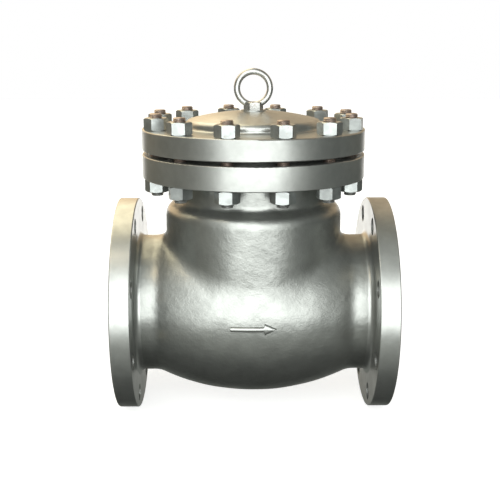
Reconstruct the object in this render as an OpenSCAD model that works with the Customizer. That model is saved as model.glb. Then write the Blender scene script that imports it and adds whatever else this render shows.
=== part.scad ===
// Swing-type non-return valve: a cast steel body with two end flanges, a bolted cover,
// and a disc that hangs inside from a hinged arm and shuts against a seat ring.
// Origin: centre of the inlet flange's gasket face. +X is the way the flow goes, +Z is up.

/* [Run] */
// Distance between the two gasket faces
face_to_face = 356; // [340:2:372]
// Diameter of the port at both ends
port_d = 152; // [146:1:154]
// Wall of the round nozzles behind the flanges
nozzle_wall = 14; // [12:0.5:16]

/* [End flanges] */
// Outer diameter of an end flange
flange_od = 279; // [274:1:290]
// Thickness of an end flange, raised face included
flange_t = 27; // [24:0.5:30]
// Diameter of the raised gasket face
face_d = 216; // [206:1:217]
// Height of the raised gasket face
face_h = 1.6; // [1:0.1:3]
// Bolt circle of an end flange
end_pcd = 241.3; // [239:0.1:244]
// Number of bolt holes in an end flange
end_holes = 8; // [4:4:12]
// Diameter of a bolt hole in the inlet flange
inlet_hole_d = 22.2; // [19:0.1:24]
// Diameter of a bolt hole in the outlet flange, a little larger to ease lining up the pipe
outlet_hole_d = 22.6; // [19:0.1:24]
// Radius of the fillet behind an end flange
flange_fillet = 8; // [5:0.5:9]

/* [Belly] */
// Largest outer diameter of the belly round the flow axis
belly_d = 236; // [232:1:242]
// Half the length of the belly, from the cover's axis to the nozzle
belly_half = 124; // [118:1:126]
// Wall of the belly
belly_wall = 12; // [10:0.5:13]

/* [Bowl and neck] */
// Outer diameter of the upright bowl
bowl_d = 229; // [226:1:232]
// Wall of the upright bowl
bowl_wall = 12; // [10:0.5:13]
// Height of the bowl's shoulder above the flow axis
shoulder_z = 139; // [136:1:142]
// Radius of the round on the shoulder
shoulder_round = 18; // [12:0.5:22]
// Outer diameter of the neck under the body's top flange
neck_d = 200; // [198:1:203]
// Wall of the neck
neck_wall = 10; // [9:0.5:11]
// Radius of the fillets at both ends of the neck
neck_fillet = 6; // [3:0.5:7]

/* [Cover joint] */
// Height of the underside of the body's top flange above the flow axis
top_flange_z = 171; // [168:1:176]
// Thickness of the body's top flange
top_flange_t = 30; // [26:1:34]
// Outer diameter of the cover and of the body's top flange
cover_od = 287; // [285:1:292]
// Thickness of the cover's rim
cover_rim_t = 27; // [23:1:31]
// Height of the raised ring under the cover
cover_ring_h = 1.8; // [1:0.1:3]
// Outer diameter of the raised ring and of the gasket
gasket_od = 216; // [210:1:220]
// Inner diameter of the gasket
gasket_id = 186; // [182:1:192]
// Thickness of the gasket
gasket_t = 3.2; // [2:0.1:4.5]
// Corner round on the rims of the flanges and the cover
rim_round = 1.5; // [0.5:0.25:2.5]

/* [Dome] */
// Diameter of the dome on the cover
dome_d = 174; // [168:1:180]
// Height of the dome's crown above the cover's rim
dome_h = 22; // [20:1:28]
// Radius of the dome's crown
crown_r = 325; // [300:5:380]
// Radius of the round on the dome's edge
dome_round = 7; // [4:0.5:8]
// Thickness of the dome
dome_wall = 16; // [13:0.5:18]

/* [Cover studs] */
// Number of studs round the cover
stud_n = 12; // [8:2:12]
// Circle that the studs stand on
stud_circle = 254.4; // [252:0.2:256]
// Diameter of a stud
stud_d = 16; // [14:0.5:16]
// How far a stud stands out of its nuts
stud_out = 5; // [2:0.5:7]
// Nut width across its flats
nut_af = 27; // [25:0.5:27.5]
// Height of a nut
nut_h = 15.5; // [13:0.5:17]

/* [Lifting eye] */
// Outer diameter of the lifting ring
ring_od = 50.4; // [46:0.2:56]
// Diameter of the ring's bar
ring_bar = 8.2; // [7:0.2:10]
// Width of the eye's hexagon across its flats
eye_af = 22.2; // [20:0.1:26]
// Height of the eye's hexagon
eye_hex_h = 10; // [8:0.5:11]
// Diameter of the eye's shank
eye_shank_d = 12.7; // [10:0.1:14]
// Length of the shank inside the cover
eye_shank_l = 22; // [18:1:24]

/* [Seat and disc] */
// Distance from the seat back to the cover's axis
seat_back = 70; // [68:1:72]
// Outer diameter of the disc
disc_d = 172; // [168:1:174]
// Thickness of the disc at its edge
disc_t = 14; // [11:0.5:14]
// Diameter of the disc's stud
disc_stud_d = 22; // [18:1:24]
// Outer diameter of the seat ring's collar
seat_od = 180; // [178:1:182]
// Height of the seat ring's collar
seat_collar_h = 4; // [3:0.5:6]
// Depth of the seat ring's spigot in the bridge wall
seat_spigot = 10; // [6:1:14]

/* [Hinge] */
// Height of the hinge pin above the flow axis
pin_z = 114; // [113:0.5:116]
// Distance from the seat forward to the hinge pin
pin_ahead = 8; // [7:0.5:10]
// Diameter of the hinge pin
pin_d = 16; // [12:1:17]
// Outer diameter of the arm's hub
hub_d = 32; // [30:0.5:33]
// Width of the arm's hub along the pin
hub_w = 36; // [30:1:38]
// Wall of the bush in the hub
bush_wall = 2.5; // [2:0.25:3]
// Thickness of an ear of the hinge bracket
ear_t = 10; // [8:0.5:12]
// Thickness of the bracket's feet
foot_t = 8; // [6:0.5:9]
// How far the bracket's screws stand to each side
screw_y = 46; // [45:0.5:50]
// Diameter of a bracket screw
screw_d = 10; // [8:0.5:10]

/* [Hidden] */
$fn = 96;

// Clearances
thread_gap = 0.1;     // between a screw thread and the metal round it
running_gap = 0.05;   // between the hinge pin and what turns on it, on the radius
side_gap = 0.1;       // between pieces that turn beside each other on the pin
loose_gap = 0.3;      // along the disc's stud, so that the disc can turn and find its seat
shut_gap = 0.1;       // between the shut disc and the seat
stud_hole_gap = 1;    // round a cover stud in its holes, on the radius

// Places along the flow
mid_x = face_to_face / 2;
port_r = port_d / 2;
nozzle_r = port_r + nozzle_wall;
seat_x = mid_x - seat_back;
bridge_x = seat_x - seat_collar_h;
seat_bore_r = port_r + 1;
spigot_r = seat_bore_r + 7;

// The belly's outline is one arc through its widest point and the two nozzles
belly_r = belly_d / 2;
belly_arc_r = (pow(belly_half, 2) + pow(belly_r - nozzle_r, 2)) / (2 * (belly_r - nozzle_r));
bowl_r = bowl_d / 2;
neck_r = neck_d / 2;
opening_r = neck_r - neck_wall;
chamber_top_z = shoulder_z - bowl_wall;
// The centre of the round on the shoulder, as a radius and a height
round_r = bowl_r - shoulder_round;
round_z = shoulder_z - shoulder_round;

// Heights of the cover joint
top_face_z = top_flange_z + top_flange_t;
ring_face_z = top_face_z + gasket_t;
cover_z = ring_face_z + cover_ring_h;
rim_z = cover_z + cover_rim_t;
crown_z = rim_z + dome_h;
cover_r = cover_od / 2;
dome_r = dome_d / 2;
boss_h = 0.8;
boss_z = crown_z + boss_h;
boss_floor = 6;       // metal under the eye's tapped hole
boss_margin = 5;      // round the eye's hexagon
dome_fillet = 3;

// Which way the nuts point, and how far each is off it
upper_nut_turn = 5;
lower_nut_turn = 50;
nut_scatter = 9;
scatter_step = 137;

// The disc and what holds it to the arm
disc_x = seat_x + shut_gap;
disc_back_x = disc_x + disc_t;
disc_boss_h = 4;
disc_boss_r = 30;
eye_x = disc_back_x + disc_boss_h + loose_gap;
arm_eye_t = 18;
arm_eye_r = 24;
web_swell = 2;        // how much thicker the arm's web is above the disc
disc_edge_clear = 5;  // between the disc's edge and where the web leans forward
washer_x = eye_x + arm_eye_t + loose_gap;
disc_washer_t = 3;
disc_nut_x = washer_x + disc_washer_t;
disc_nut_h = 18;
disc_nut_af = disc_stud_d * 1.6;
split_pin_r = 1.6;
split_pin_x = disc_nut_x + disc_nut_h + 2 * split_pin_r;
disc_stud_end = split_pin_x + 5;

// The hinge
pin_x = seat_x + pin_ahead;
hub_r = hub_d / 2;
spacer_t = 1.6;
ear_y = hub_w / 2 + spacer_t + 2 * side_gap;
ear_out_y = ear_y + ear_t;
clip_t = 1.6;
clip_groove = 0.8;
clip_r = pin_d / 2 + 3;
clip_y = ear_out_y + side_gap;
pin_end_y = clip_y + clip_t + 2.4;
clip_clear = 1;
pad_z = pin_z - clip_r - clip_clear - foot_t;
pad_t = 14;
foot_r = 11;
foot_x = pin_x - 3;
pad_end_x = foot_x + foot_r + 1;
bridge_top_z = seat_od / 2 + 3;
seat_clear = 1.5;
screw_washer_t = 2;
screw_head_h = 6.4;
screw_l = foot_t + screw_washer_t + 10;
heel_w = 10;
heel_reach = hub_r + 8;
full_open = 60;
// The bracket's bar stops the arm's heel at full_open: this is the height of the heel's face there
bar_gap = 0.5;
bar_t = 7.5;
bar_x = pin_x - hub_r - bar_gap;
heel_along = (hub_r + bar_gap - heel_w / 2 * cos(full_open)) / sin(full_open);
bar_top_z = pin_z + heel_along * cos(full_open) - heel_w / 2 * sin(full_open) - loose_gap;

// Turns a shape that was drawn round Z so that it lies round X, the way of the flow
module along_flow() {
    rotate([0, 90, 0]) children();
}

// Moves a shape that was drawn round Z to the cover's axis
module on_cover_axis() {
    translate([mid_x, 0, 0]) children();
}

// Stands a copy of a shape at each cover stud
module at_studs() {
    for (i = [0 : stud_n - 1])
        on_cover_axis()
            rotate([0, 0, (i + 0.5) * 360 / stud_n])
                translate([stud_circle / 2, 0, 0])
                    children();
}

// A concave corner fillet: fills the corner at the origin between +X and +Y
module corner_fill(r) {
    difference() {
        square(r);
        translate([r, r]) circle(r);
    }
}

// A half profile from the axis out to a radius, with both outer corners rounded
module rounded_disc_profile(r, low, high, corner) {
    translate([0, low + corner]) square([r, high - low - 2 * corner]);
    translate([0, low]) square([r - corner, high - low]);
    for (z = [low + corner, high - corner])
        translate([r - corner, z]) circle(corner);
}

// A ring round Z
module ring(r_out, r_in, h) {
    difference() {
        cylinder(r = r_out, h = h);
        translate([0, 0, -1]) cylinder(r = r_in, h = h + 2);
    }
}

// A hexagon bar with both ends turned down to a cone at the corners
module hexagon(af, h, turned_down = true) {
    corner_r = af / 2 / cos(30);
    drop = (corner_r - af / 2) * tan(30);
    intersection() {
        cylinder(r = corner_r, h = h, $fn = 6);
        rotate_extrude()
            polygon([[0, 0], [af / 2, 0], [corner_r, turned_down ? drop : 0],
                     [corner_r, h - drop], [af / 2, h], [0, h]]);
    }
}

// A hexagon nut with a plain hole
module nut(af, h, hole_r) {
    difference() {
        hexagon(af, h);
        translate([0, 0, -1]) cylinder(r = hole_r, h = h + 2);
    }
}

// The belly's half profile: an arc about a far centre, cut off by the axis and two ends
module belly_profile(wall, from_x, to_x) {
    intersection() {
        translate([belly_r - belly_arc_r, mid_x]) circle(belly_arc_r - wall, $fn = 360);
        translate([0, from_x]) square([belly_r, to_x - from_x]);
    }
}

// Half profile of one end flange with its raised face and the fillet behind it
module end_flange_profile() {
    square([face_d / 2, face_h + 1]);
    rounded_disc_profile(flange_od / 2, face_h, flange_t, rim_round);
    translate([nozzle_r, flange_t]) corner_fill(flange_fillet);
}

// Everything of the body that is round about the flow: flanges, nozzles and belly
module flow_form() {
    along_flow()
        rotate_extrude() {
            end_flange_profile();
            translate([0, face_to_face]) mirror([0, 1]) end_flange_profile();
            square([nozzle_r, face_to_face]);
            belly_profile(0, mid_x - belly_half - 2, mid_x + belly_half + 2);
        }
}

// The fillet at the neck's foot. It touches the neck and rolls on the shoulder's round, or
// stands on the flat beside the round where that leaves enough room.
module neck_foot_profile() {
    foot_r = neck_r + neck_fillet;
    over_round = foot_r > round_r;
    reach = shoulder_round + neck_fillet;
    foot_z = over_round ? round_z + sqrt(pow(reach, 2) - pow(foot_r - round_r, 2))
                        : shoulder_z + neck_fillet;
    under_z = over_round ? round_z : shoulder_z;
    difference() {
        polygon([[neck_r, under_z], [over_round ? round_r : foot_r, under_z],
                 [foot_r, foot_z], [neck_r, foot_z]]);
        translate([foot_r, foot_z]) circle(neck_fillet);
    }
}

// Everything of the body that is round about the cover's axis: bowl, shoulder, neck, top flange
module bowl_form() {
    on_cover_axis()
        rotate_extrude() {
            square([bowl_r, round_z]);
            square([round_r, shoulder_z]);
            translate([round_r, round_z]) circle(shoulder_round);
            square([neck_r, top_flange_z + 1]);
            neck_foot_profile();
            translate([neck_r, top_flange_z]) mirror([0, 1]) corner_fill(neck_fillet);
            rounded_disc_profile(cover_r, top_flange_z, top_face_z, rim_round);
        }
}

// The bridge wall that carries the seat: what the chamber leaves standing
module bridge_block() {
    translate([0, -belly_r, -belly_r]) cube([bridge_x, belly_d, belly_r + bridge_top_z]);
}

// The two cast pads that the hinge bracket is screwed to, each with its tapped hole. They
// reach out over the seat, and are cut back round its collar.
module bracket_pads() {
    for (side = [-1, 1])
        difference() {
            translate([0, side * screw_y - foot_r - 1, pad_z - pad_t])
                cube([pad_end_x, 2 * foot_r + 2, pad_t]);
            translate([bridge_x, 0, 0])
                along_flow() cylinder(r = seat_od / 2 + seat_clear, h = pad_end_x);
            translate([foot_x, side * screw_y, pad_z - screw_l + foot_t + screw_washer_t - 1])
                cylinder(r = screw_d / 2 + thread_gap, h = pad_t);
        }
}

// The hollow that the disc swings in, seat side left to the bridge
module chamber() {
    difference() {
        union() {
            along_flow()
                rotate_extrude()
                    belly_profile(belly_wall, mid_x - belly_half, face_to_face - flange_t);
            on_cover_axis() {
                cylinder(r = bowl_r - bowl_wall, h = chamber_top_z);
                cylinder(r = opening_r, h = top_face_z + 1);
            }
        }
        bridge_block();
        bracket_pads();
    }
}

// The through holes for the bolts of one end flange, straddling the centre lines
module end_bolt_holes(x, hole_d) {
    translate([x - 1, 0, 0])
        along_flow()
            for (i = [0 : end_holes - 1])
                rotate([0, 0, (i + 0.5) * 360 / end_holes])
                    translate([end_pcd / 2, 0, 0])
                        cylinder(d = hole_d, h = flange_t + 2);
}

module body() {
    color("darkgray")
        difference() {
            union() {
                flow_form();
                bowl_form();
            }
            chamber();
            translate([-1, 0, 0]) along_flow() cylinder(r = port_r, h = face_to_face + 2);
            translate([bridge_x - seat_spigot, 0, 0])
                along_flow() cylinder(r = spigot_r + running_gap, h = seat_spigot + 1);
            end_bolt_holes(0, inlet_hole_d);
            end_bolt_holes(face_to_face - flange_t, outlet_hole_d);
            at_studs()
                translate([0, 0, top_flange_z - 1])
                    cylinder(r = stud_d / 2 + stud_hole_gap, h = top_flange_t + 2);
        }
}

module seat_ring() {
    color("lightsteelblue")
        translate([bridge_x - seat_spigot, 0, 0])
            along_flow()
                difference() {
                    union() {
                        cylinder(r = spigot_r, h = seat_spigot + 1);
                        translate([0, 0, seat_spigot])
                            cylinder(d = seat_od, h = seat_collar_h);
                    }
                    translate([0, 0, -1])
                        cylinder(r = seat_bore_r, h = seat_spigot + seat_collar_h + 2);
                }
}

// Half profile of the cover's outside: rim, fillet, dome with a rounded edge, boss for the eye
module cover_profile() {
    rounded_disc_profile(cover_r, cover_z, rim_z, rim_round);
    translate([0, ring_face_z]) square([gasket_od / 2, cover_ring_h + 1]);
    translate([dome_r, rim_z]) corner_fill(dome_fillet);
    edge_z = crown_z - crown_r + sqrt(pow(crown_r - dome_round, 2) - pow(dome_r - dome_round, 2));
    translate([dome_r - dome_round, edge_z]) circle(dome_round);
    translate([0, rim_z - 1]) square([dome_r, edge_z - rim_z + 1]);
    intersection() {
        translate([0, crown_z - crown_r]) circle(crown_r, $fn = 360);
        edge_share = crown_r / (crown_r - dome_round);
        translate([0, rim_z - 1]) square([(dome_r - dome_round) * edge_share, dome_h + 2]);
    }
    translate([0, rim_z]) square([eye_af / 2 + boss_margin, boss_z - rim_z]);
}

// Half profile of the hollow under the dome, round the boss that takes the eye's shank
module cover_hollow_profile() {
    difference() {
        intersection() {
            translate([0, crown_z - crown_r]) circle(crown_r - dome_wall, $fn = 360);
            translate([0, ring_face_z - 1]) square([dome_r - dome_wall, dome_h + cover_rim_t]);
        }
        translate([0, boss_z - eye_shank_l - boss_floor])
            square([eye_shank_d, eye_shank_l + boss_floor]);
    }
}

module cover() {
    color("silver")
        difference() {
            on_cover_axis()
                rotate_extrude()
                    difference() {
                        cover_profile();
                        cover_hollow_profile();
                    }
            on_cover_axis()
                translate([0, 0, boss_z - eye_shank_l - 1])
                    cylinder(r = eye_shank_d / 2 + thread_gap, h = eye_shank_l + 2);
            at_studs()
                translate([0, 0, cover_z - 1])
                    cylinder(r = stud_d / 2 + stud_hole_gap, h = cover_rim_t + 2);
        }
}

module cover_gasket() {
    color("dimgray")
        on_cover_axis()
            translate([0, 0, top_face_z])
                ring(gasket_od / 2, gasket_id / 2, gasket_t);
}

// A stud threaded from end to end, with chamfered ends
module stud(r, l, chamfer = 1.2) {
    rotate_extrude()
        polygon([[0, 0], [r - chamfer, 0], [r, chamfer],
                 [r, l - chamfer], [r - chamfer, l], [0, l]]);
}

module cover_studs() {
    low_z = top_flange_z - nut_h - stud_out;
    color("gray")
        at_studs()
            translate([0, 0, low_z])
                stud(stud_d / 2, rim_z + nut_h + stud_out - low_z);
}

// A nut at each cover stud, with its underside at a height. They all point about one way,
// each a few degrees off, as it came tight.
module nut_ring(z, nut_turn) {
    for (i = [0 : stud_n - 1]) {
        stud_angle = (i + 0.5) * 360 / stud_n;
        tight_turn = nut_turn + nut_scatter * sin(i * scatter_step);
        on_cover_axis()
            rotate([0, 0, stud_angle])
                translate([stud_circle / 2, 0, z])
                    rotate([0, 0, tight_turn - stud_angle])
                        nut(nut_af, nut_h, stud_d / 2 + thread_gap);
    }
}

module upper_nuts() {
    color("darkgray") nut_ring(rim_z, upper_nut_turn);
}

module lower_nuts() {
    color("darkgray") nut_ring(top_flange_z - nut_h, lower_nut_turn);
}

module lifting_eye() {
    ring_z = boss_z + eye_hex_h + ring_od / 2 - ring_bar + 0.4;
    color("gray")
        on_cover_axis() {
            translate([0, 0, boss_z - eye_shank_l]) cylinder(d = eye_shank_d, h = eye_shank_l + 1);
            translate([0, 0, boss_z]) rotate([0, 0, 8]) hexagon(eye_af, eye_hex_h, false);
            translate([0, 0, ring_z])
                rotate([90, 0, 0])
                    rotate_extrude()
                        translate([(ring_od - ring_bar) / 2, 0])
                            circle(d = ring_bar);
        }
}

// One ear of the bracket: a plate with a round top about the pin, and its foot
module bracket_side(side) {
    inner = side > 0 ? ear_y : -ear_out_y;
    ear_r = hub_r - 2;
    translate([pin_x, inner, pin_z])
        rotate([-90, 0, 0])
            cylinder(r = ear_r, h = ear_t);
    translate([pin_x - ear_r, inner, pad_z]) cube([2 * ear_r, ear_t, pin_z - pad_z]);
    translate([foot_x, side * screw_y, pad_z]) cylinder(r = foot_r, h = foot_t);
    foot_inner = side > 0 ? ear_y : -screw_y;
    translate([foot_x - foot_r, foot_inner, pad_z])
        cube([2 * foot_r, screw_y - ear_y, foot_t]);
}

module hinge_bracket() {
    color("slategray")
        difference() {
            union() {
                for (side = [-1, 1])
                    bracket_side(side);
                translate([bar_x - bar_t, -ear_out_y, pad_z])
                    cube([bar_t, 2 * ear_out_y, bar_top_z - pad_z]);
                for (side = [-1, 1])
                    translate([bar_x - bar_t, side > 0 ? ear_y : -ear_out_y, pad_z])
                        cube([bar_t + hub_r / 2, ear_t, bar_top_z - pad_z]);
            }
            translate([pin_x, -ear_out_y - 1, pin_z])
                rotate([-90, 0, 0])
                    cylinder(r = pin_d / 2 + running_gap, h = 2 * ear_out_y + 2);
            for (side = [-1, 1])
                translate([foot_x, side * screw_y, pad_z - 1])
                    cylinder(r = screw_d / 2 + 0.5, h = foot_t + 2);
        }
}

module bracket_screws() {
    color("gainsboro")
        for (side = [-1, 1])
            translate([foot_x, side * screw_y, pad_z + foot_t + screw_washer_t]) {
                translate([0, 0, -screw_l]) stud(screw_d / 2, screw_l + 1, 0.8);
                hexagon(1.7 * screw_d, screw_head_h, false);
            }
}

module bracket_washers() {
    color("gainsboro")
        for (side = [-1, 1])
            translate([foot_x, side * screw_y, pad_z + foot_t])
                ring(screw_d, screw_d / 2 + 0.25, screw_washer_t);
}

module hinge_pin() {
    groove_r = pin_d / 2 - clip_groove;
    color("lightgray")
        translate([pin_x, 0, pin_z])
            rotate([-90, 0, 0])
                difference() {
                    translate([0, 0, -pin_end_y]) stud(pin_d / 2, 2 * pin_end_y, 1);
                    for (side = [-1, 1])
                        translate([0, 0, side * (clip_y + clip_t / 2) - clip_t / 2 - side_gap])
                            ring(pin_d, groove_r, clip_t + 2 * side_gap);
                }
}

// The two spring clips that keep the pin in the bracket, each open at the bottom
module pin_clips() {
    color("dimgray")
        for (side = [-1, 1])
            translate([pin_x, side * (clip_y + clip_t / 2), pin_z])
                rotate([-90, 0, 0])
                    translate([0, 0, -clip_t / 2])
                        difference() {
                            ring(clip_r, pin_d / 2 - clip_groove + running_gap, clip_t);
                            translate([-2.5, 0, -1]) cube([5, clip_r + 1, clip_t + 2]);
                        }
}

module arm_spacers() {
    color("goldenrod")
        for (side = [-1, 1])
            translate([pin_x, side * (ear_y - side_gap - spacer_t / 2), pin_z])
                rotate([-90, 0, 0])
                    translate([0, 0, -spacer_t / 2])
                        ring(hub_r - 4, pin_d / 2 + running_gap, spacer_t);
}

// Side view of the arm's web, as [along the flow, up]: it runs straight up past the disc's
// edge and then leans forward to the hub. Its back is flat where the washer turns on it.
module arm_web_side() {
    clear_z = disc_d / 2 + disc_edge_clear;
    back_x = eye_x + arm_eye_t;
    in_hub_z = pin_z + hub_r * 0.4;
    polygon([[eye_x, 0], [eye_x, clear_z], [pin_x - 4, pin_z - hub_r + 4],
             [pin_x, in_hub_z], [pin_x + hub_r - 3, in_hub_z],
             [back_x + web_swell, clear_z], [back_x, arm_eye_r], [back_x, 0]]);
}

// Front view of the arm's web, as [across, up]: it tapers from the eye to the hub
module arm_web_front() {
    top_w = hub_w * 0.36;
    polygon([[-arm_eye_r * 0.8, 0], [-top_w, pin_z], [-top_w, pin_z + hub_r],
             [top_w, pin_z + hub_r], [top_w, pin_z], [arm_eye_r * 0.8, 0]]);
}

module swing_arm() {
    color("lightslategray")
        difference() {
            union() {
                translate([eye_x, 0, 0]) along_flow() cylinder(r = arm_eye_r, h = arm_eye_t);
                translate([pin_x, -hub_w / 2, pin_z])
                    rotate([-90, 0, 0])
                        cylinder(r = hub_r, h = hub_w);
                intersection() {
                    translate([0, hub_w, 0])
                        rotate([90, 0, 0])
                            linear_extrude(height = 2 * hub_w) arm_web_side();
                    translate([pin_x - hub_d, 0, 0])
                        rotate([90, 0, 90])
                            linear_extrude(height = 3 * hub_d) arm_web_front();
                }
                translate([pin_x - heel_w / 2, -hub_w / 2, pin_z])
                    cube([heel_w, hub_w, heel_reach]);
            }
            translate([eye_x - 1, 0, 0])
                along_flow() cylinder(r = disc_stud_d / 2 + loose_gap, h = arm_eye_t + 2);
            translate([pin_x, -hub_w / 2 - 1, pin_z])
                rotate([-90, 0, 0])
                    cylinder(r = pin_d / 2 + bush_wall, h = hub_w + 2);
        }
}

module arm_bush() {
    bush_fit = 0.02;
    color("darkgoldenrod")
        translate([pin_x, -hub_w / 2, pin_z])
            rotate([-90, 0, 0])
                ring(pin_d / 2 + bush_wall - bush_fit, pin_d / 2 + running_gap, hub_w);
}

// The disc and its stud are one forging, turned all over
module disc() {
    stud_r = disc_stud_d / 2;
    face_relief_r = port_r - 6;
    color("lightsteelblue")
        difference() {
            translate([disc_x, 0, 0])
                along_flow()
                    rotate_extrude()
                        polygon([[0, 2], [face_relief_r - 2, 2], [face_relief_r, 0],
                                 [disc_d / 2 - 1, 0], [disc_d / 2, 1],
                                 [disc_d / 2, disc_t - 4], [disc_d / 2 - 4, disc_t],
                                 [disc_boss_r + 3, disc_t], [disc_boss_r, disc_t + disc_boss_h],
                                 [stud_r, disc_t + disc_boss_h],
                                 [stud_r, disc_stud_end - disc_x - 1.5],
                                 [stud_r - 1.5, disc_stud_end - disc_x],
                                 [0, disc_stud_end - disc_x]]);
            translate([split_pin_x, -disc_stud_d, 0])
                rotate([-90, 0, 0])
                    cylinder(r = split_pin_r + thread_gap, h = 2 * disc_stud_d);
        }
}

module disc_washer() {
    color("gainsboro")
        translate([washer_x, 0, 0])
            along_flow()
                ring(disc_stud_d * 0.95, disc_stud_d / 2 + loose_gap, disc_washer_t);
}

module disc_nut() {
    color("silver")
        translate([disc_nut_x, 0, 0])
            along_flow()
                rotate([0, 0, 15])
                    nut(disc_nut_af, disc_nut_h, disc_stud_d / 2 + thread_gap);
}

// A split pin: round head, straight shank through the stud, two legs bent apart
module disc_split_pin() {
    head_r = 3.2;
    leg_l = 9;
    leg_r = split_pin_r * 0.8;
    end_y = disc_stud_d / 2 + 3;
    color("gold") {
        translate([split_pin_x, -end_y, 0])
            rotate([-90, 0, 0])
                cylinder(r = split_pin_r, h = 2 * end_y + split_pin_r);
        translate([split_pin_x, -end_y - head_r, 0])
            along_flow()
                rotate_extrude()
                    translate([head_r, 0])
                        circle(leg_r);
        for (turn = [0, 180])
            translate([split_pin_x, end_y, 0])
                rotate([turn, 0, 0])
                    cylinder(r = leg_r, h = leg_l);
    }
}

body();
seat_ring();
cover();
cover_gasket();
cover_studs();
upper_nuts();
lower_nuts();
lifting_eye();
hinge_bracket();
bracket_screws();
bracket_washers();
hinge_pin();
pin_clips();
arm_spacers();
swing_arm();
arm_bush();
disc();
disc_washer();
disc_nut();
disc_split_pin();
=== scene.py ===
# %% [markdown]
# # A flanged swing check valve
# The construction is already made and packed: every piece of the valve arrives as a solid at
# its real size. This file gives it its looks: the soft skin of the casting, threads on the
# studs, a raised arrow, and a painted or machined finish on each surface.
# Everything is in metres. The flow runs along +X, the cover is up, and the origin lies in the
# middle of the inlet flange's gasket face.

# %% Load the frame
import math
import bmesh
import bpy
import numpy as np
from mathutils import Matrix, Vector


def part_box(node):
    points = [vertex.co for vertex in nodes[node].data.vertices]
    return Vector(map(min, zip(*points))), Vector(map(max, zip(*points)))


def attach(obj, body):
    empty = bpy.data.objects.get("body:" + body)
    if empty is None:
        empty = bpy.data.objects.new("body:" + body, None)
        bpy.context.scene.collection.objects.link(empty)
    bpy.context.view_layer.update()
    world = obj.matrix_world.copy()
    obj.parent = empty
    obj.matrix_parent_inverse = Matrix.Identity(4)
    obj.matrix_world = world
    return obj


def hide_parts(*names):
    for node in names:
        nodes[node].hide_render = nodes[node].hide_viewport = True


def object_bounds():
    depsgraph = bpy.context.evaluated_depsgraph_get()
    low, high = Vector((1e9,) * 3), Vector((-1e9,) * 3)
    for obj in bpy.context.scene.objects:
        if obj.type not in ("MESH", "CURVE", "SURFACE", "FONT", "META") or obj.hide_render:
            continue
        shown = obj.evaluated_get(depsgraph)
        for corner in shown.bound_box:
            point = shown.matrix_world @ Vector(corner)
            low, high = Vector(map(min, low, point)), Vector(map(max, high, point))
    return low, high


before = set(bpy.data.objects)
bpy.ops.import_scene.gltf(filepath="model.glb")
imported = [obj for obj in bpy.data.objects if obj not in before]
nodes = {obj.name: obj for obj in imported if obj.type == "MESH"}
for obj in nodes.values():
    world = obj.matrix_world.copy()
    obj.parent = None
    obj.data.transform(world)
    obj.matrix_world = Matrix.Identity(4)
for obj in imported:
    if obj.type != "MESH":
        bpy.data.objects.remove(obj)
cad_box = [list(corner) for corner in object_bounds()]
MM = 0.001
print("box of the solids, in mm:", [[round(v / MM, 1) for v in corner] for corner in cad_box])

# %% [markdown]
# ## Sizes read back from the solids
# A dressed piece has to sit exactly where its solid sits, so the sizes that this file needs
# are measured on the solids' boxes. Only sizes that no box shows, such as the radius of a
# fillet, are repeated as values of their own.

# %% Sizes of the casting
body_low, body_high = (np.array(corner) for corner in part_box("body"))
axis_x = body_high[0] / 2
flange_r = -body_low[2]
flange_t = 27 * MM
flange_fillet = 8 * MM
nozzle_r = 90 * MM
belly_r = 118 * MM
belly_half = 124 * MM
bowl_r = 114.5 * MM
shoulder_z = 139 * MM
shoulder_round = 18 * MM
round_r = bowl_r - shoulder_round
round_z = shoulder_z - shoulder_round
neck_r = 100 * MM
neck_fillet = 6 * MM
top_face_z = body_high[2]
top_flange_z = top_face_z - 30 * MM
belly_arc_r = (belly_half**2 + (belly_r - nozzle_r) ** 2) / (2 * (belly_r - nozzle_r))
print("cover axis at x =", round(axis_x / MM, 1), "mm, flange radius", round(flange_r / MM, 1))

# %% [markdown]
# ## Camera
# The camera stands where the photograph was taken from: a little above the cover joint and
# almost square to the flow. The lens comes from the picture's width in pixels and the focal
# length in pixels that a fit to the flanges, studs and ring gave.

# %% Camera
PICTURE_W = 500
FOCAL_PX = 936
YAW = math.radians(-0.76)
PITCH = math.radians(12.96)
camera_data = bpy.data.cameras.new("camera")
camera_data.sensor_width = 36
camera_data.lens = FOCAL_PX / PICTURE_W * camera_data.sensor_width
camera = bpy.data.objects.new("camera", camera_data)
camera.location = (axis_x - 20.5 * MM, -1.214, 0.350)
camera.rotation_euler = (math.pi / 2 - PITCH, 0, YAW)
bpy.context.scene.collection.objects.link(camera)
bpy.context.scene.camera = camera
print("lens", round(camera_data.lens, 1), "mm")

# %% [markdown]
# ## Writing shader maths as plain expressions
# A finish is a network of nodes, and so is the room. Wiring them by hand is slow to read, so a
# small class wraps an output socket: `a * 2 + b` then adds the two Math nodes by itself.
# Colours are kept out of those operators, because a Math node would turn them grey; they go
# through a Mix node.

# %% The wire class
class Wire:
    """One output socket, with the arithmetic that the room and the finishes use."""

    def __init__(self, network, socket):
        self.network = network
        self.socket = socket

    def __add__(self, other):
        return self.network.maths("ADD", self, other)

    def __sub__(self, other):
        return self.network.maths("SUBTRACT", self, other)

    def __rsub__(self, other):
        return self.network.maths("SUBTRACT", other, self)

    def __mul__(self, other):
        return self.network.maths("MULTIPLY", self, other)

    __radd__ = __add__
    __rmul__ = __mul__


# %% [markdown]
# All other nodes come from one method, which takes a node's type, then its settings, because
# these decide which sockets the node has, and then what goes into the sockets. Soft steps
# between two values make nearly every mask here, so they have a method of their own.

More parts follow.
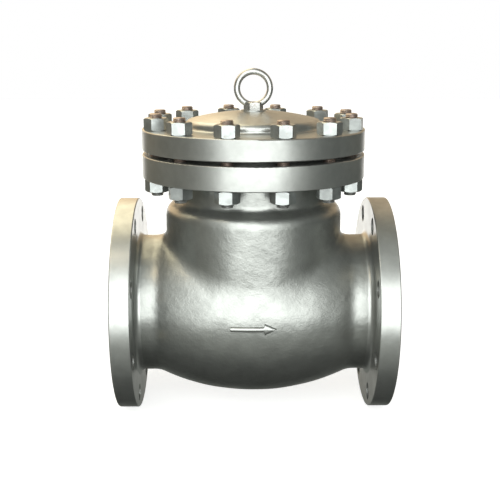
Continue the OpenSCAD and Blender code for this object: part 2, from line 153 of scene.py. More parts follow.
# %% The network class
class Network:
    """A tree of nodes under construction."""

    def __init__(self, tree):
        self.tree = tree

    def node(self, kind, settings=None, inputs=None, out=0):
        """Adds any node: settings first, then the values or wires of its sockets."""
        made = self.tree.nodes.new(kind)
        for key, value in (settings or {}).items():
            setattr(made, key, value)
        for key, value in (inputs or {}).items():
            if isinstance(value, Wire):
                self.tree.links.new(value.socket, made.inputs[key])
            else:
                made.inputs[key].default_value = value
        return Wire(self, made.outputs[out])

    def maths(self, operation, a, b):
        return self.node("ShaderNodeMath", {"operation": operation}, {0: a, 1: b})

    def between(self, value, low, high, at_low=0.0, at_high=1.0):
        """A soft step from at_low to at_high. Either of low and high may be the larger."""
        ends = {"From Min": low, "From Max": high, "To Min": at_low, "To Max": at_high}
        return self.node(
            "ShaderNodeMapRange",
            {"clamp": True, "interpolation_type": "SMOOTHSTEP"},
            {"Value": value, **ends},
        )


# %% [markdown]
# ## Floor and light
# Silver paint shows little colour of its own: what one sees is the room in it. A warm lamp
# high on the left gilds the dome and the left flange. A broad panel overhead is there for the
# floor alone, so the paint doesn't mirror it. The floor in turn is kept out of the paint: on
# the real object the underside stays dark.

# %% Floor
FLOOR_REACH = 6.0
FLOOR_GAP = 0.2 * MM
SQUARE = ((-1, -1), (1, -1), (1, 1), (-1, 1))
floor_z = cad_box[0][2] - FLOOR_GAP
floor_mesh = bpy.data.meshes.new("floor")
floor_mesh.from_pydata(
    [(x * FLOOR_REACH, y * FLOOR_REACH, floor_z) for x, y in SQUARE], [], [(0, 1, 2, 3)]
)
floor = bpy.data.objects.new("floor", floor_mesh)
bpy.context.scene.collection.objects.link(floor)
floor.visible_glossy = False
floor.visible_diffuse = False
print("floor at z =", round(floor_z / MM, 1), "mm")

# %% Lamp and panel
def area_light(name, place, size, power, colour):
    """A soft panel at a place, turned to face the middle of the valve."""
    data = bpy.data.lights.new(name, "AREA")
    data.shape = "RECTANGLE"
    data.size, data.size_y = size, size
    data.energy = power
    data.color = colour
    panel = bpy.data.objects.new(name, data)
    panel.location = place
    middle = Vector((axis_x, 0, 0.08))
    panel.rotation_euler = (middle - Vector(place)).to_track_quat("-Z", "Y").to_euler()
    bpy.context.scene.collection.objects.link(panel)
    return panel


lamp = area_light("warm_lamp", (axis_x - 0.75, -0.75, 1.5), 0.5, 3.5, (1.0, 0.80, 0.52))
overhead = area_light("floor_panel", (axis_x, -0.1, 2.2), 2.4, 12, (1.0, 1.0, 1.0))
overhead.visible_glossy = False
print("lights:", lamp.data.energy, "W and", overhead.data.energy, "W")

# %% [markdown]
# ## The room
# The room itself is a world shader, and most of the look of shiny paint is what it mirrors.
# So the room is painted by direction, from parts that each have one colour: two side walls, a
# tan back wall, a warm lamp above, a floor, and a window in front with a glow round it. A
# second, low window behind lights the far side. From the front it shows only in the last two
# or three pixels of an outline.

# %% Parts of the room
world = bpy.data.worlds.new("room")
world.use_nodes = True
world.node_tree.nodes.clear()
bpy.context.scene.world = world
room = Network(world.node_tree)


def glowing(colour, strength):
    """A part of the room that gives off one colour."""
    return room.node("ShaderNodeBackground", None, {"Color": (*colour, 1), "Strength": strength})


left_wall = glowing((0.54, 0.53, 0.43), 0.30)
right_wall = glowing((0.50, 0.56, 0.51), 0.20)
back_wall = glowing((1.0, 0.72, 0.43), 1.65)
warm_light = glowing((1.0, 0.88, 0.62), 3.5)
ground = glowing((0.92, 1.0, 0.88), 0.03)
near_floor = glowing((0.96, 1.0, 0.93), 0.60)
glow = glowing((0.96, 1.0, 0.96), 0.95)
window = glowing((0.97, 1.0, 0.99), 4.1)
back_window = glowing((1.0, 0.98, 0.94), 2.2)
backdrop = glowing((1.0, 1.0, 1.0), 1.0)
print("parts of the room:", len(room.tree.nodes))

# %% [markdown]
# Where a part lies is a mask: soft steps along the direction that a ray looks in, multiplied
# with each other. Each edge comes from the photograph. A highlight that ends 18 degrees round
# a rim means a window that ends 36 degrees to the side. A left flange that is bright on top
# where the right one stays dull means a lamp that ends near the middle, and a blind that is
# down over the window on the right. The dome is seen so flat that it mirrors the back wall.

# %% Masks by direction
direction = room.node("ShaderNodeTexCoord", out="Generated")
to_right, to_back, up = (
    room.node("ShaderNodeSeparateXYZ", None, {0: direction}, out=axis) for axis in "XYZ"
)
mirrored = room.node("ShaderNodeLightPath", out="Is Glossy Ray")
seen = room.node("ShaderNodeLightPath", out="Is Camera Ray")
aside = room.maths("ABSOLUTE", to_right, 0.0)
front = room.between(to_back, 0.0, -0.3)
left = room.between(to_right, 0.03, -0.10)

tan = room.between(to_back, 0.25, 0.65) * room.between(up, -0.08, 0.12)
tan = tan * room.maths("MAXIMUM", left, 0.38) * mirrored
above = room.between(to_back, -0.15, 0.30) * room.between(up, 0.32, 0.66) * left * mirrored
blind = room.between(to_right, 0.03, 0.17) * room.between(up, 0.38, 0.62)
halo = room.between(aside, 0.97, 0.50) * front * room.between(up, -0.42, -0.12)
halo = halo * (1 - blind * 0.7)
pane = room.between(aside, 0.63, 0.40) * front
pane = pane * (room.between(up, -0.35, -0.14) * room.between(up, 0.80, 0.55)) * (1 - blind)
low_pane = room.between(aside, 0.55, 0.35) * room.between(to_back, 0.0, 0.3)
low_pane = low_pane * room.between(up, -0.36, -0.20) * room.between(up, 0.07, -0.03)
far_floor = room.between(up, -0.88, -0.50) * 0.5
floor_light = room.maths("MAXIMUM", room.between(to_back, -0.22, -1.0), far_floor)
print("with their masks:", len(room.tree.nodes), "nodes")

# %% [markdown]
# The parts then go over one another in layers, the nearest last. Straight behind the valve the
# picture wants a plain white backdrop, so rays that come from the eye see that instead, as
# with a white sweep and dark flags in a studio.

# %% Layers of the room
def over(under, mask, part):
    """Shows the part where the mask is 1, and what lies under it where the mask is 0."""
    return room.node("ShaderNodeMixShader", None, {0: mask, 1: under, 2: part})


layers = (
    (room.between(to_right, -0.25, 0.35), right_wall),
    (tan, back_wall),
    (above, warm_light),
    (room.between(up, -0.20, -0.55), over(ground, floor_light, near_floor)),
    (halo, glow),
    (low_pane, back_window),
    (pane, window),
    (seen, backdrop),
)
lit = left_wall
for mask, part in layers:
    lit = over(lit, mask, part)
surface = room.tree.nodes.new("ShaderNodeOutputWorld")
room.tree.links.new(lit.socket, surface.inputs["Surface"])
bpy.context.scene.view_settings.view_transform = "Standard"
print("layers of the room:", len(layers) + 1)

# %% [markdown]
# ## The shader of a finish
# A finish is such a network behind one Principled surface. Noise in the object's own space
# needs no unwrapping and doesn't tile, and its size can be given in metres. Paint and metal are
# never one even colour, so each colour here sinks to a darker share of itself in places.

# %% The finish class
class Finish(Network):
    """A material under construction: a Principled surface and the nodes that feed it."""

    def __init__(self, name, **constants):
        self.material = bpy.data.materials.new(name)
        self.material.use_nodes = True
        super().__init__(self.material.node_tree)
        self.surface = self.tree.nodes["Principled BSDF"]
        for socket, value in constants.items():
            self.surface.inputs[socket.replace("_", " ")].default_value = value
        self.place = self.node("ShaderNodeTexCoord", out="Object")

    def noise(self, size, detail, roughness=0.55):
        """Cloudy noise whose blobs measure about size metres across."""
        return self.node(
            "ShaderNodeTexNoise",
            {"noise_dimensions": "3D"},
            {"Vector": self.place, "Scale": 1 / size, "Detail": detail, "Roughness": roughness},
        )

    def vectors(self, operation, *ends, out=0):
        inputs = dict(enumerate(ends))
        return self.node("ShaderNodeVectorMath", {"operation": operation}, inputs, out)

    def off_axis(self, axis, through):
        """The distance from the line that runs along an axis through a point."""
        flat = [0.0 if letter == axis else 1.0 for letter in "XYZ"]
        away = self.vectors("MULTIPLY", self.vectors("SUBTRACT", self.place, through), flat)
        return self.vectors("LENGTH", away, out="Value")

    def mix(self, mask, a, b):
        """Colour a where the mask is 0 and colour b where it is 1."""
        return self.node("ShaderNodeMix", {"data_type": "RGBA"}, {0: mask, 6: a, 7: b}, out=2)

    def mottled(self, tone, colour, share):
        """A colour that sinks to a share of itself where the tone is 0."""
        return self.mix(tone, rgb(*(share * c for c in colour)), rgb(*colour))

    def feed(self, socket, wire):
        self.tree.links.new(wire.socket, self.surface.inputs[socket])

    def bump(self, height, depth):
        """Turns a height from 0 to 1 into bumps that are depth metres deep."""
        inputs = {"Height": height, "Distance": depth}
        self.feed("Normal", self.node("ShaderNodeBump", None, inputs))


def rgb(red, green, blue):
    return (red, green, blue, 1.0)


# %% [markdown]
# ## Silver paint over a sand casting
# The body and the cover are sand castings: the steel took the grain of the mould, was blasted,
# and was sprayed with aluminium paint. A picture texture would tile and would need unwrapping.
# Layers of noise need neither: coarse lumps for the mould, fine grain for the sand, clouds for
# the uneven spray, and small brown specks where rust starts.

# %% Cast paint
def cast_paint(name, silver, lump_depth, rust_amount, smooth_beyond=None):
    """Sprayed casting. Past smooth_beyond from the cover's axis the lumps die away."""
    finish = Finish(name, Metallic=0.85)
    clouds = finish.noise(0.06, 3)
    patches = finish.noise(0.017, 5, 0.6)
    lumps = finish.noise(0.0075, 4, 0.55)
    grain = finish.noise(0.0021, 3, 0.6)
    tone = finish.between(clouds * 0.55 + patches * 0.45, 0.36, 0.64)
    colour = finish.mottled(tone, silver, 0.80)
    specks = finish.between(finish.noise(0.0042, 6, 0.7), 0.70, 0.78)
    rusty = finish.between(finish.noise(0.034, 4), 0.56, 0.66) * specks * rust_amount
    colour = finish.mix(rusty, colour, rgb(0.20, 0.11, 0.06))
    finish.feed("Base Color", colour)
    finish.feed("Roughness", 0.30 + tone * -0.04 + lumps * 0.10 + rusty * 0.4)
    finish.feed("Metallic", 0.85 - rusty * 0.6)
    rough = 1.0
    if smooth_beyond:
        out = finish.off_axis("Z", (axis_x, 0, 0))
        rough = finish.between(out, smooth_beyond, smooth_beyond + 3 * MM, 1.0, 0.14)
    finish.bump((lumps * 0.68 + grain * 0.32) * rough, lump_depth)
    return finish.material


SILVER = (0.44, 0.45, 0.43)
DULL_SILVER = (0.375, 0.385, 0.365)
dome_r = 87 * MM
casting_finish = cast_paint("cast_paint", DULL_SILVER, 0.46 * MM, 0.7)
rim_finish = cast_paint("rim_paint", SILVER, 0.09 * MM, 0.9)
cover_finish = cast_paint("cover_paint", SILVER, 0.5 * MM, 0.5, smooth_beyond=dome_r)
print("made", casting_finish.name, rim_finish.name, cover_finish.name)

# %% [markdown]
# ## Paint on nuts, studs and the lifting eye
# The same spray covers smoother steel here, so the lumps go and only a thin orange-peel is
# left. The upper stud ends, where rain stands, lost some of their paint, and a light brown
# bloom shows between their threads. The lower ends hang in the dry and are still grey, so a
# mask by height parts the two.

# %% Smooth paint, stud finish
def smooth_paint(name, silver, roughness, rust_amount, rain_from=None):
    """Sprayed steel. Below the height rain_from it stays grey and has no rust."""
    finish = Finish(name, Metallic=0.8)
    clouds = finish.noise(0.012, 4)
    peel = finish.noise(0.0012, 3)
    tone = finish.between(clouds, 0.38, 0.62)
    colour = finish.mottled(tone, silver, 0.78)
    rusty = finish.between(finish.noise(0.0045, 5, 0.65), 0.60, 0.70) * rust_amount
    if rain_from:
        height = finish.node("ShaderNodeSeparateXYZ", None, {0: finish.place}, out=2)
        wet = finish.between(height, rain_from - 2 * MM, rain_from)
        colour = finish.mix(wet, rgb(0.34, 0.34, 0.33), colour)
        rusty = rusty * wet
    colour = finish.mix(rusty, colour, rgb(0.26, 0.15, 0.08))
    finish.feed("Base Color", colour)
    finish.feed("Roughness", roughness + peel * 0.10 + rusty * 0.3)
    finish.feed("Metallic", 0.8 - rusty * 0.5)
    finish.bump(peel, 0.012 * MM)
    return finish.material


nut_finish = smooth_paint("nut_paint", (0.40, 0.42, 0.41), 0.26, 0.25)
stud_finish = smooth_paint("stud_paint", (0.38, 0.31, 0.27), 0.34, 1.0, rain_from=190 * MM)
eye_finish = smooth_paint("eye_paint", (0.46, 0.46, 0.44), 0.20, 0.3)
print("made", nut_finish.name, stud_finish.name, eye_finish.name)

# %% [markdown]
# ## Machined and bare metals inside
# Turned pieces carry fine rings round the axis that they were turned on. A Wave texture can
# draw rings too, but the sine of the distance from that axis puts them at the pitch of the
# lathe's feed, in metres. Blasted castings are dull and grainy.

# %% Turned, bare, dark and bronze finishes
def turned(name, colour, axis, through, roughness, pitch=0.9 * MM):
    """Fine lathe rings round an axis through a point."""
    finish = Finish(name, Metallic=1.0)
    rings = finish.maths("SINE", finish.off_axis(axis, through) * (2 * math.pi / pitch), 0.0)
    fade = finish.noise(0.006, 3)
    tone = finish.between(fade, 0.35, 0.65)
    finish.feed("Base Color", finish.mottled(tone, colour, 0.82))
    finish.feed("Roughness", roughness + rings * 0.04 + fade * 0.12)
    finish.bump(rings * fade, 0.012 * MM)
    return finish.material


def grainy(name, colour, roughness, grain_depth):
    """A blasted or blackened surface: even, dull and fine-grained."""
    finish = Finish(name, Metallic=1.0)
    grain = finish.noise(0.0011, 4, 0.6)
    clouds = finish.noise(0.02, 3)
    tone = finish.between(clouds * 0.6 + grain * 0.4, 0.4, 0.6)
    finish.feed("Base Color", finish.mottled(tone, colour, 0.72))
    finish.feed("Roughness", roughness + grain * 0.15)
    finish.bump(grain, grain_depth)
    return finish.material


# %% [markdown]
# Each solid that keeps its own mesh now gets its finish. The disc, its nut and its washer were
# turned round the flow axis, and what sits on the hinge pin was turned round the pin.

# %% Finish of each solid
pin_low, pin_high = (np.array(corner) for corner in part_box("hinge_pin"))
pin_at = tuple((pin_low + pin_high) / 2)
cover_axis = (axis_x, 0, 0)
flow_axis = (0, 0, 0)
STEEL = (0.62, 0.62, 0.61)
BRONZE = (0.62, 0.42, 0.20)
CAST_GRAIN = 0.25 * MM
FINE_GRAIN = 0.04 * MM
FINISHES = {
    "cover": cover_finish,
    "upper_nuts": nut_finish,
    "lower_nuts": nut_finish,
    "lifting_eye": eye_finish,
    "cover_gasket": turned("gasket_winding", (0.16, 0.16, 0.16), "Z", cover_axis, 0.5, 1.6 * MM),
    "seat_ring": turned("seat_steel", STEEL, "X", flow_axis, 0.22),
    "disc": turned("disc_steel", STEEL, "X", flow_axis, 0.28, 1.6 * MM),
    "disc_washer": turned("washer_steel", STEEL, "X", flow_axis, 0.3),
    "disc_nut": turned("nut_steel", STEEL, "X", flow_axis, 0.3),
    "hinge_pin": turned("pin_steel", (0.66, 0.66, 0.66), "Y", pin_at, 0.18),
    "arm_bush": turned("bush_bronze", BRONZE, "Y", pin_at, 0.3),
    "arm_spacers": turned("spacer_bronze", BRONZE, "Y", pin_at, 0.35),
    "hinge_bracket": grainy("bracket_casting", (0.40, 0.40, 0.39), 0.48, CAST_GRAIN),
    "swing_arm": grainy("arm_casting", (0.42, 0.42, 0.41), 0.48, CAST_GRAIN),
    "bracket_screws": grainy("screw_steel", (0.55, 0.55, 0.54), 0.3, FINE_GRAIN),
    "bracket_washers": grainy("plain_washer_steel", (0.58, 0.58, 0.57), 0.34, FINE_GRAIN),
    "disc_split_pin": grainy("split_pin_steel", (0.6, 0.6, 0.59), 0.32, FINE_GRAIN),
    "pin_clips": grainy("clip_steel", (0.10, 0.10, 0.11), 0.42, FINE_GRAIN),
}
for name, material in FINISHES.items():
    nodes[name].data.materials.clear()
    nodes[name].data.materials.append(material)
print("finishes on", len(FINISHES), "solids")

# %% [markdown]
# The floor is a plain pale sheet. It still gets a little unevenness, because a perfectly even
# floor looks like a cut-out behind the valve.

# %% Floor finish
floor_look = Finish("pale_floor", Metallic=0.0, Roughness=0.8, Emission_Strength=0.72)
floor_tone = floor_look.between(floor_look.noise(0.4, 2), 0.3, 0.7)
floor_colour = floor_look.mix(floor_tone, rgb(0.80, 0.80, 0.79), rgb(0.84, 0.84, 0.83))
floor_look.feed("Base Color", floor_colour)
floor_look.feed("Emission Color", floor_look.mix(floor_tone, rgb(0.97, 0.97, 0.97), rgb(1, 1, 1)))
floor_mesh.materials.append(floor_look.material)
print("made", floor_look.material.name)

# %% [markdown]
# ## The skin of the casting
# On the real casting the upright bowl grows out of the round belly with a soft valley, because
# a sharp one would crack as the steel cools. Solids made of turned shapes meet in a hard line
# there. Bevelling that line is fragile, as it runs over two curved faces. A better way: write
# the whole outer form as a distance function, where a smooth minimum blends the shapes, and
# pull the points of an even mesh on to it.

# %% Distance functions of the outer form
ARC_CENTRE_R = belly_r - belly_arc_r
NOZZLE_BLEND = 3 * MM
NECK_BLEND = 8 * MM
SEAM_BLEND = 7 * MM


def smooth_join(a, b, blend):
    """The union of two distances with a fillet of about blend metres where they meet."""
    near = np.clip(0.5 + 0.5 * (b - a) / blend, 0, 1)
    return b + (a - b) * near - blend * near * (1 - near)


def nozzle_form(p):
    """The tube between the end flanges."""
    return np.hypot(p[:, 1], p[:, 2]) - nozzle_r


def belly_form(p):
    """An arc turned round the flow axis."""
    out = np.hypot(p[:, 1], p[:, 2])
    return np.hypot(p[:, 0] - axis_x, out - ARC_CENTRE_R) - belly_arc_r


def bowl_form(p):
    """An upright cylinder with a round shoulder."""
    side = np.hypot(p[:, 0] - axis_x, p[:, 1]) - round_r
    top = p[:, 2] - round_z
    outside = np.hypot(np.maximum(side, 0), np.maximum(top, 0))
    return outside + np.minimum(np.maximum(side, top), 0) - shoulder_round


def neck_form(p):
    """The narrower cylinder over the bowl."""
    return np.hypot(p[:, 0] - axis_x, p[:, 1]) - neck_r


def outer_form(p):
    """All four, blended. Bowl and neck stop at the height of the flow axis."""
    below = -p[:, 2]
    lying = smooth_join(nozzle_form(p), belly_form(p), NOZZLE_BLEND)
    bowl, neck = np.maximum(bowl_form(p), below), np.maximum(neck_form(p), below)
    return smooth_join(lying, smooth_join(bowl, neck, NECK_BLEND), SEAM_BLEND)


def pull_on_to(p, form, rounds=6):
    """Moves each point along the form's slope until it lies on the form."""
    step = 0.05 * MM
    for _ in range(rounds):
        here = form(p)
        rises = [form(p + step * way) - form(p - step * way) for way in np.eye(3)]
        slope = np.stack(rises, axis=1) / (2 * step)
        size = np.maximum((slope**2).sum(axis=1), 0.25)
        p = p - slope * (here / size)[:, None]
    return p


# %% [markdown]
# The even mesh comes from turned blanks that Blender's voxel remesh fuses into one skin. Past
# three circles the skin is cut off: there the exact flanges of the solid take over, so its
# last row of points is set on those circles.

# %% Turned blanks and small helpers
def turned_blank(profile, axis, sides=96):
    """A closed turned solid: profile is a list of (along, radius)."""
    mesh = bmesh.new()
    rows = []
    for along, radius in profile:
        row = []
        for k in range(sides):
            a = 2 * math.pi * k / sides
            u, v = radius * math.cos(a), radius * math.sin(a)
            row.append(mesh.verts.new((along, u, v) if axis == "X" else (axis_x + u, v, along)))
        rows.append(row)
    for low, high in zip(rows, rows[1:]):
        for k in range(sides):
            mesh.faces.new((low[k], low[(k + 1) % sides], high[(k + 1) % sides], high[k]))
    mesh.faces.new(rows[0])
    mesh.faces.new(rows[-1])
    bmesh.ops.recalc_face_normals(mesh, faces=mesh.faces)
    return mesh


def new_object(name, mesh):
    """A named object for a mesh, linked into the scene."""
    made = bpy.data.objects.new(name, mesh)
    bpy.context.scene.collection.objects.link(made)
    return made


def from_bmesh(name, built):
    mesh = bpy.data.meshes.new(name)
    built.to_mesh(mesh)
    built.free()
    return new_object(name, mesh)


def applied(thing):
    """A new mesh with the object's modifiers worked in."""
    graph = bpy.context.evaluated_depsgraph_get()
    return bpy.data.meshes.new_from_object(thing.evaluated_get(graph))


def points_of(mesh):
    flat = np.empty(len(mesh.vertices) * 3)
    mesh.vertices.foreach_get("co", flat)
    return flat.reshape(-1, 3)


def set_points(mesh, points):
    mesh.vertices.foreach_set("co", np.asarray(points, dtype=float).ravel())
    mesh.update()


# %% [markdown]
# The first blank lies along the flow, with the belly's arc between its two nozzles. The second
# stands on the flow axis and holds the bowl, its round shoulder and the neck. Each is longer
# than it has to be, because its ends are cut off later.

# %% Profiles of the two blanks
SPARE = 12 * MM
inlet_cut = flange_t + flange_fillet
outlet_cut = 2 * axis_x - inlet_cut
neck_cut = top_flange_z - neck_fillet


def belly_out(s):
    """The belly's outer radius at a distance from the cover's axis along the flow."""
    return ARC_CENTRE_R + math.sqrt(belly_arc_r**2 - s**2)


def shoulder_at(turn):
    """A point of the shoulder's round, as (height, radius)."""
    return (round_z + shoulder_round * math.sin(turn), round_r + shoulder_round * math.cos(turn))


belly_steps = np.linspace(-belly_half, belly_half, 25)
shoulder_turns = np.linspace(0, math.acos((neck_r - round_r) / shoulder_round), 9)
belly_profile = [
    (inlet_cut - SPARE, nozzle_r),
    *((axis_x + s, belly_out(s)) for s in belly_steps),
    (outlet_cut + SPARE, nozzle_r),
]
bowl_profile = [(0, bowl_r), *map(shoulder_at, shoulder_turns), (neck_cut + SPARE, neck_r)]
print("points of the profiles:", len(belly_profile), "and", len(bowl_profile))

# %% Build the skin
SKIN_VOXEL = 2.4 * MM
blank = turned_blank(belly_profile, "X")
bowl_blank = turned_blank(bowl_profile, "Z")
bowl_mesh = bpy.data.meshes.new("bowl_blank")
bowl_blank.to_mesh(bowl_mesh)
bowl_blank.free()
blank.from_mesh(bowl_mesh)
skin_source = from_bmesh("skin_source", blank)
remesh = skin_source.modifiers.new("even", "REMESH")
remesh.mode = "VOXEL"
remesh.voxel_size = SKIN_VOXEL
skin_mesh = applied(skin_source)
bpy.data.objects.remove(skin_source)
set_points(skin_mesh, pull_on_to(points_of(skin_mesh), outer_form))
print("skin points:", len(skin_mesh.vertices))

# %% [markdown]
# Real castings are never quite true. A slow swell of a quarter of a millimetre, faded out
# towards the cut circles, keeps the highlights from looking machine-made.

# %% Swell of the casting
SWELL = 0.25 * MM
SWELL_FADE = 15 * MM
WAVES = ((83, 41, 60), (-37, 95, 52), (60, -58, 101), (140, 120, -95))


def swell(p):
    """A slow, repeatable unevenness made of a few crossing waves."""
    total = np.zeros(len(p))
    for k, (wx, wy, wz) in enumerate(WAVES):
        total += np.sin(p[:, 0] * wx + p[:, 1] * wy + p[:, 2] * wz + 1.7 * k)
    return total / len(WAVES)


def inside_cuts(p):
    """How far each point lies inside the nearest of the three cuts."""
    return np.minimum.reduce([p[:, 0] - inlet_cut, outlet_cut - p[:, 0], neck_cut - p[:, 2]])


def swollen(p):
    """The points, moved in or out along lines from the middle of the belly."""
    outward = p - np.array((axis_x, 0, 0))
    outward /= np.maximum(np.linalg.norm(outward, axis=1), 1e-6)[:, None]
    fade = np.clip(inside_cuts(p) / SWELL_FADE, 0, 1)
    return p + outward * (swell(p) * fade * SWELL)[:, None]


# %% [markdown]
# What reaches past a cut is deleted, and the ragged edge that is left is drawn straight on to
# the cut's circle.

# %% Trim the skin
def trim_skin(mesh):
    depth = inside_cuts(points_of(mesh))
    set_points(mesh, swollen(points_of(mesh)))
    skin = bmesh.new()
    skin.from_mesh(mesh)
    drop = [v for v, r in zip(skin.verts, depth) if r < 0.3 * SKIN_VOXEL]
    bmesh.ops.delete(skin, geom=drop, context="VERTS")
    for v in skin.verts:
        if v.is_boundary:
            gaps = (v.co.x - inlet_cut, outlet_cut - v.co.x, neck_cut - v.co.z)
            nearest = gaps.index(min(gaps))
            if nearest == 2:
                v.co.z = neck_cut
            else:
                v.co.x = (inlet_cut, outlet_cut)[nearest]
    skin.to_mesh(mesh)
    skin.free()
    mesh.update()


trim_skin(skin_mesh)
skin_mesh.shade_smooth()
print("skin points between the cuts:", len(skin_mesh.vertices))

# %% [markdown]
# Now the exact solid gives its flanges, holes, fillets and inside: a copy of its mesh loses
# only the faces that the skin stands for. A face belongs to the skin when its corners lie on
# the hard outer form, between the three circles.

# %% What the exact solid keeps
FAR_OFF = 1.0
SKIN_REACH = 3.2 * MM
SAME_PLACE = 0.005 * MM


def hard_form(p):
    """The same four forms without a blend. Bowl and neck count above the flow axis only."""
    bowl = np.where(p[:, 2] < 0, FAR_OFF, bowl_form(p))
    neck = np.where(p[:, 2] > 0, neck_form(p), FAR_OFF)
    return np.minimum.reduce([nozzle_form(p), belly_form(p), bowl, neck])


def exact_rest(source):
    """A copy of the solid's mesh without the faces that the skin replaces."""
    rest = bmesh.new()
    rest.from_mesh(source)
    p = np.array([v.co[:] for v in rest.verts])
    slack = 0.05 * MM
    on_skin = (np.abs(hard_form(p)) < SKIN_REACH) & (inside_cuts(p) > -slack)
    drop = [f for f in rest.faces if all(on_skin[v.index] for v in f.verts)]
    bmesh.ops.delete(rest, geom=drop, context="FACES")
    bmesh.ops.remove_doubles(rest, verts=rest.verts, dist=SAME_PLACE)
    mesh = bpy.data.meshes.new("exact_rest")
    rest.to_mesh(mesh)
    rest.free()
    return mesh


# %% [markdown]
# The flat rims next to thin rounds would look tilted with plain smooth shading. A Weighted
# Normal modifier lets the large faces decide. The two meshes then become one object, which
# stands for the whole body.

# %% Join the skin to the exact flanges and inside
def even_shading(mesh):
    """Lets the large faces decide the shading, so that a thin round doesn't tilt it."""
    thing = new_object("to_shade", mesh)
    weigh = thing.modifiers.new("weigh", "WEIGHTED_NORMAL")
    weigh.mode = "FACE_AREA_WITH_ANGLE"
    weigh.weight = 90
    weigh.keep_sharp = True
    made = applied(thing)
    bpy.data.objects.remove(thing)
    return made


def joined(name, *meshes):
    """One object from several meshes."""
    things = [new_object(f"{name}_{k}", mesh) for k, mesh in enumerate(meshes)]
    with bpy.context.temp_override(
        active_object=things[0], selected_objects=things, selected_editable_objects=things
    ):
        bpy.ops.object.join()
    things[0].name = name
    return things[0]


rest_mesh = exact_rest(nodes["body"].data)
rest_mesh.materials.clear()
rest_mesh.materials.append(rim_finish)
skin_mesh.materials.clear()
skin_mesh.materials.append(casting_finish)
rest_mesh.shade_smooth()
rest_mesh.set_sharp_from_angle(angle=math.radians(30))
casting = joined("body_casting", even_shading(rest_mesh), skin_mesh)
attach(casting, "valve")
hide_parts("body")
print("casting faces:", len(casting.data.polygons))

# %% [markdown]
# ## Studs with real threads
# Each stud is threaded from end to end, and about three turns stand out of each nut. A bump
# map would leave the outline smooth, and these ends are seen against the light, so the thread
# is real: one tube of points whose radius rises and falls with height and with the angle,
# which makes the groove climb like a screw.

# %% Threaded studs
THREAD_PITCH = 2.0 * MM
THREAD_DEPTH = 1.0 * MM
CHAMFER = 1.3 * MM
STUD_COUNT = 12
stud_low, stud_high = (np.array(corner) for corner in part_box("cover_studs"))
stud_r = 8 * MM
stud_circle_r = 127.2 * MM


def thread_mesh(radius, length, sides=20, rows_per_turn=5):
    """A screw thread standing on z = 0, with chamfered ends."""
    rows = int(length / THREAD_PITCH * rows_per_turn)
    heights = np.linspace(0, length, rows)
    turns = np.arange(sides) * 2 * math.pi / sides
    z, a = np.meshgrid(heights, turns, indexing="ij")
    turn = (z / THREAD_PITCH - a / (2 * math.pi)) % 1.0
    groove = 1 - np.abs(2 * turn - 1)
    # Crest and root are cut a little flat
    r = radius - THREAD_DEPTH * np.clip(groove * 1.15 - 0.08, 0, 1)
    r = np.minimum(r, radius - CHAMFER + np.minimum(z, length - z))
    points = np.stack([r * np.cos(a), r * np.sin(a), z], axis=-1).reshape(-1, 3).tolist()
    faces = []
    for i in range(rows - 1):
        for k in range(sides):
            n = (k + 1) % sides
            faces.append((i * sides + k, i * sides + n, (i + 1) * sides + n, (i + 1) * sides + k))
    faces.append(tuple(reversed(range(sides))))
    faces.append(tuple(range((rows - 1) * sides, rows * sides)))
    mesh = bpy.data.meshes.new("thread")
    mesh.from_pydata(points, [], faces)
    return mesh


def ring_of(name, mesh, count, radius, z):
    """Copies of a mesh round the cover's axis, joined into one."""
    built = bmesh.new()
    for k in range(count):
        a = (k + 0.5) * 2 * math.pi / count
        before = len(built.verts)
        built.from_mesh(mesh)
        built.verts.ensure_lookup_table()
        place = Matrix.Translation((axis_x + radius * math.cos(a), radius * math.sin(a), z))
        place = place @ Matrix.Rotation(a, 4, "Z")
        bmesh.ops.transform(built, matrix=place, verts=built.verts[before:])
    return from_bmesh(name, built)


stud_mesh = thread_mesh(stud_r, stud_high[2] - stud_low[2])
studs = ring_of("threaded_studs", stud_mesh, STUD_COUNT, stud_circle_r, stud_low[2])
studs.data.shade_smooth()
studs.data.set_sharp_from_angle(angle=math.radians(50))
studs.data.materials.append(stud_finish)
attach(studs, "valve")
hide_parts("cover_studs")
print("stud faces:", len(studs.data.polygons))

# %% [markdown]
# ## The flow arrow
# A valve like this works one way round only, so the foundry casts an arrow on its belly. The
# arrow is one swept strip: at each place along it, seven points across stand on the belly or
# a little above it, so that it has sloped sides and a rounded back, as cast letters have.

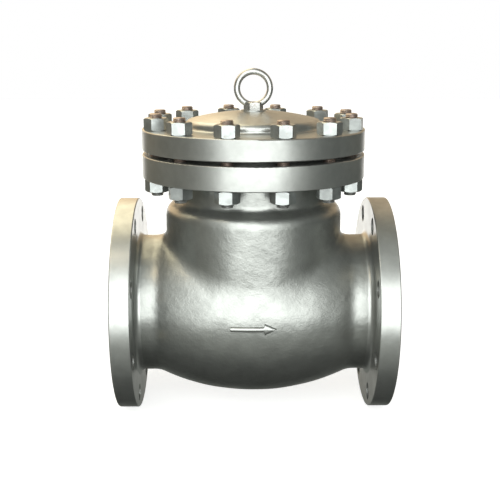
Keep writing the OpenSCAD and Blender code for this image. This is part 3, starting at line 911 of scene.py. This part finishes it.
# %% Arrow
ARROW_FROM = 148 * MM
ARROW_TO = 205 * MM
ARROW_Z = -2.5 * MM
ARROW_RISE = 3.0 * MM
ARROW_ROOT = -0.8 * MM
SHAFT_HALF = 2.9 * MM
HEAD_HALF = 7.2 * MM
HEAD_LENGTH = 15 * MM
SIDE_SLOPE = 0.8 * MM
# Points across the arrow, as (share of the half width, steps of the slope, share of the rise)
ACROSS = (
    (-1, -1, 0), (-1, 0, 0.55), (-0.7, 0, 0.9), (0, 0, 1), (0.7, 0, 0.9), (1, 0, 0.55), (1, 1, 0)
)


def arrow_rows():
    """(x, half width, rise) along the arrow, from its tail to its tip."""
    neck = ARROW_TO - HEAD_LENGTH
    rows = [(ARROW_FROM - SIDE_SLOPE, SHAFT_HALF * 0.6, ARROW_ROOT)]
    rows += [(x, SHAFT_HALF, ARROW_RISE) for x in np.linspace(ARROW_FROM, neck - 0.5 * MM, 18)]
    rows += [
        (neck + HEAD_LENGTH * s, HEAD_HALF * (1 - s), ARROW_RISE) for s in np.linspace(0, 0.9, 10)
    ]
    return rows + [(ARROW_TO + SIDE_SLOPE, 0.1 * MM, ARROW_ROOT)]


def arrow_mesh():
    points, faces = [], []
    for x, half, rise in arrow_rows():
        for share, slope, height in ACROSS:
            z = ARROW_Z + share * half + slope * SIDE_SLOPE
            out = belly_out(x - axis_x) + ARROW_ROOT + (rise - ARROW_ROOT) * height
            points.append((x, -math.sqrt(out**2 - z**2), z))
    wide = len(ACROSS)
    for i in range(len(points) // wide - 1):
        for k in range(wide - 1):
            a = wide * i + k
            faces.append((a, a + wide, a + wide + 1, a + 1))
    mesh = bpy.data.meshes.new("arrow")
    mesh.from_pydata(points, [], faces)
    mesh.shade_smooth()
    mesh.set_sharp_from_angle(angle=math.radians(60))
    return mesh


arrow = new_object("flow_arrow", arrow_mesh())
arrow.data.materials.append(rim_finish)
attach(arrow, "valve")
print("arrow from", round(ARROW_FROM / MM), "to", round(ARROW_TO / MM), "mm along the flow")
